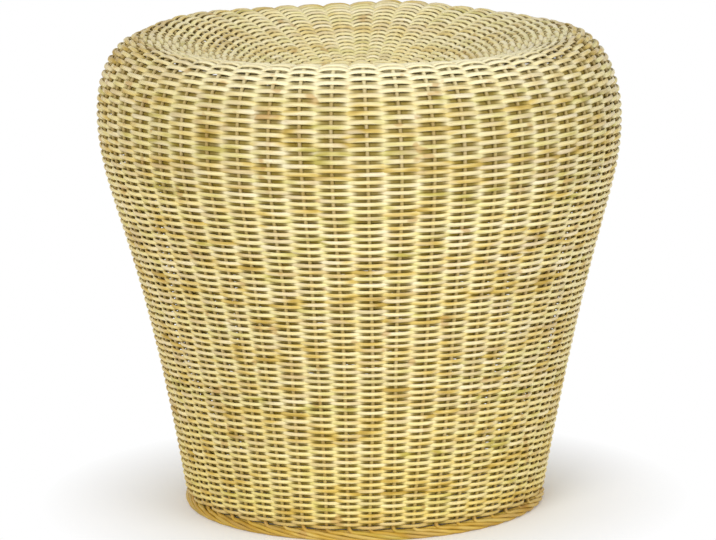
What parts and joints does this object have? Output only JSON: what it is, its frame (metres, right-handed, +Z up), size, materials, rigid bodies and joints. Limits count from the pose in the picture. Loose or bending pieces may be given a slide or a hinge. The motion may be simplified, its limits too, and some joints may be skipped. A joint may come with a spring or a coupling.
{
  "type": "stool",
  "caption": "Round wickerwork stool of fine cane: a tapered woven drum that flares to a round shoulder, dips to a dished seat and stands on a twisted foot roll",
  "frame": {"origin": "middle of the foot, on the floor", "axes": "+Z up along the axis of the round drum, +X and +Y level; the drum is the same all round"},
  "size_m": [0.4615, 0.4618, 0.418],
  "materials": {
    "stake_cane": "satin, peeled round cane",
    "weaver_cane": "satin, fine round cane",
    "roll_cane": "satin, darker twisted cane"
  },
  "bodies": {
    "root": {"centre_weave_back": "weaver_cane", "centre_weave_front": "weaver_cane", "crossing_tie": "weaver_cane", "foot_roll": "roll_cane", "long_stake_01": "stake_cane", "long_stake_02": "stake_cane", "long_stake_03": "stake_cane", "long_stake_04": "stake_cane", "long_stake_05": "stake_cane", "long_stake_06": "stake_cane", "long_stake_07": "stake_cane", "long_stake_08": "stake_cane", "long_stake_09": "stake_cane", "long_stake_10": "stake_cane", "long_stake_11": "stake_cane", "long_stake_12": "stake_cane", "long_stake_13": "stake_cane", "seat_weave_back": "weaver_cane", "seat_weave_front": "weaver_cane", "short_stake_01": "stake_cane", "short_stake_02": "stake_cane", "short_stake_03": "stake_cane", "short_stake_04": "stake_cane", "short_stake_05": "stake_cane", "short_stake_06": "stake_cane", "short_stake_07": "stake_cane", "short_stake_08": "stake_cane", "short_stake_09": "stake_cane", "short_stake_10": "stake_cane", "short_stake_11": "stake_cane", "short_stake_12": "stake_cane", "short_stake_13": "stake_cane", "short_stake_14": "stake_cane", "short_stake_15": "stake_cane", "short_stake_16": "stake_cane", "short_stake_17": "stake_cane", "short_stake_18": "stake_cane", "short_stake_19": "stake_cane", "short_stake_20": "stake_cane", "short_stake_21": "stake_cane", "short_stake_22": "stake_cane", "short_stake_23": "stake_cane", "short_stake_24": "stake_cane", "short_stake_25": "stake_cane", "shoulder_weave_back": "weaver_cane", "shoulder_weave_front": "weaver_cane", "side_weave_back": "weaver_cane", "side_weave_front": "weaver_cane"}
  },
  "joints": []
}
